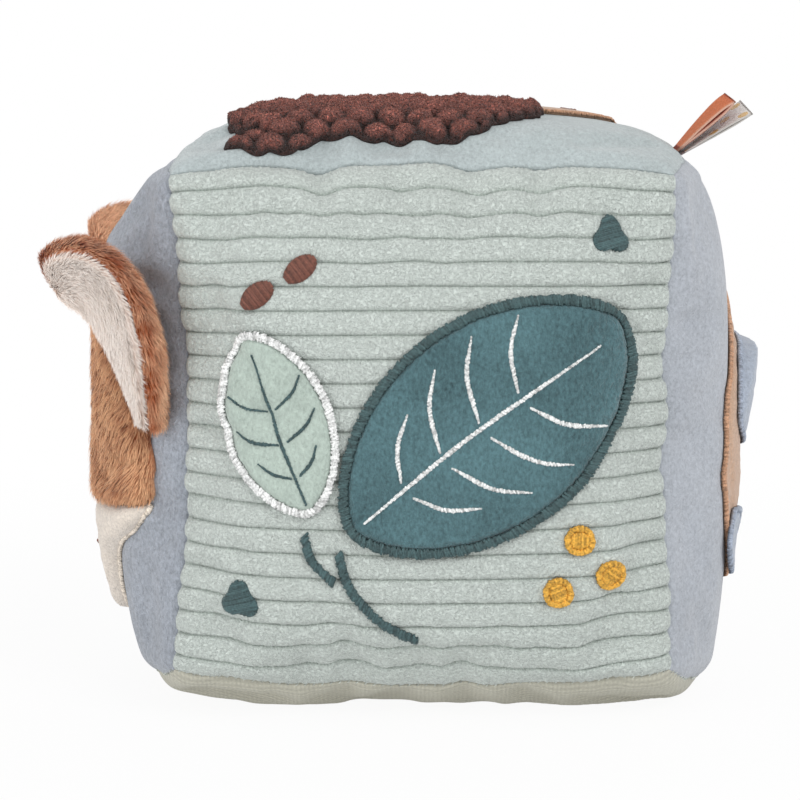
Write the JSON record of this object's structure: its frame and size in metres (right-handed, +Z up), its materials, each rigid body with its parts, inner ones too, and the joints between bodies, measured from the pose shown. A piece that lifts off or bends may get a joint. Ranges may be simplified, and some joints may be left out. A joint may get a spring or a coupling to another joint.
{
  "type": "soft fabric activity block",
  "caption": "Soft stuffed cube with a ribbed front, sewn-on leaf, hedgehog, bird and mushroom shapes, an animal's head with floppy ears, tags and a rattle inside.",
  "frame": {"origin": "the middle of the flat patch that the block rests on", "axes": "+Z is up, the ribbed front faces -Y, the animal's head faces -X and the bird faces +X"},
  "size_m": [0.1888, 0.163, 0.1594],
  "materials": {
    "mint_cord": "jumbo corduroy",
    "oatmeal_plush": "short plush",
    "slate_plush": "short plush",
    "lavender_plush": "short plush",
    "aqua_plush": "short plush",
    "sage_knit": "fine ribbed knit",
    "stuffing": "polyester wadding",
    "rattle_case": "moulded",
    "rattle_bead": "moulded",
    "teal_plush": "short plush",
    "green_satin_stitch": "satin stitch",
    "pale_plush": "short plush",
    "white_satin_stitch": "satin stitch",
    "mustard_thread": "embroidery",
    "cocoa_thread": "embroidery",
    "bobble_fleece": "bobbled fleece",
    "tan_plush": "short plush",
    "fox_fur": "long pile fur",
    "cream_plush": "short plush",
    "rust_velour": "velour",
    "satin_ribbon": "satin"
  },
  "bodies": {
    "block": {"front_panel": "mint_cord", "back_panel": "oatmeal_plush", "left_panel": "slate_plush", "right_panel": "lavender_plush", "top_panel": "aqua_plush", "bottom_panel": "sage_knit", "filling_lower": "stuffing", "filling_upper": "stuffing", "rattle_case_lower": "rattle_case", "rattle_case_upper": "rattle_case", "leaf_large": "teal_plush", "leaf_large_border": "green_satin_stitch", "leaf_small": "pale_plush", "leaf_small_border": "white_satin_stitch", "stem_large": "green_satin_stitch", "stem_small": "green_satin_stitch", "berry_1": "mustard_thread", "berry_2": "mustard_thread", "berry_3": "mustard_thread", "seed_1": "cocoa_thread", "seed_2": "cocoa_thread", "clover_1": "green_satin_stitch", "clover_2": "green_satin_stitch", "hedgehog_back": "bobble_fleece", "hedgehog_face": "tan_plush", "hedgehog_nose": "cocoa_thread", "head_fur": "fox_fur", "muzzle": "cream_plush", "head_nose": "cocoa_thread", "bird_body": "tan_plush", "bird_tail": "lavender_plush", "bird_beak": "mustard_thread", "bird_eye": "cocoa_thread", "mushroom_cap": "rust_velour", "mushroom_stem": "cream_plush"},
    "near_ear": {"ear_near_back": "fox_fur", "ear_near_lining": "cream_plush"},
    "far_ear": {"ear_far_back": "fox_fur", "ear_far_lining": "cream_plush"},
    "wing": {"bird_wing": "lavender_plush"},
    "tags": {"velour_tag": "rust_velour", "satin_tag": "satin_ribbon"},
    "beads": {"rattle_bead_1": "rattle_bead", "rattle_bead_2": "rattle_bead", "rattle_bead_3": "rattle_bead", "rattle_bead_4": "rattle_bead", "rattle_bead_5": "rattle_bead"}
  },
  "joints": [
    {"name": "near_ear_fold", "type": "hinge", "parent": "block", "child": "near_ear", "pos_m": [-0.06954, -0.05766, 0.0765], "axis": [0, -1, 0], "range_deg": [0, 35], "stiffness_Nm_per_rad": 0.01, "springref_deg": -17.19},
    {"name": "far_ear_fold", "type": "hinge", "parent": "block", "child": "far_ear", "pos_m": [-0.06954, 0.05766, 0.0765], "axis": [0, -1, 0], "range_deg": [0, 35], "stiffness_Nm_per_rad": 0.01, "springref_deg": -17.19},
    {"name": "wing_lift", "type": "hinge", "parent": "block", "child": "wing", "pos_m": [0.08538, -0.00746, 0.09345], "axis": [0, -1, 0], "range_deg": [0, 60]},
    {"name": "tag_bend", "type": "hinge", "parent": "block", "child": "tags", "pos_m": [0.071, 0.0013, 0.143], "axis": [0, 1, 0], "range_deg": [-15, 15], "stiffness_Nm_per_rad": 0.005},
    {"name": "bead_bounce", "type": "slide", "parent": "block", "child": "beads", "axis": [0, 0, 1], "range_m": [0, 0.02]}
  ]
}
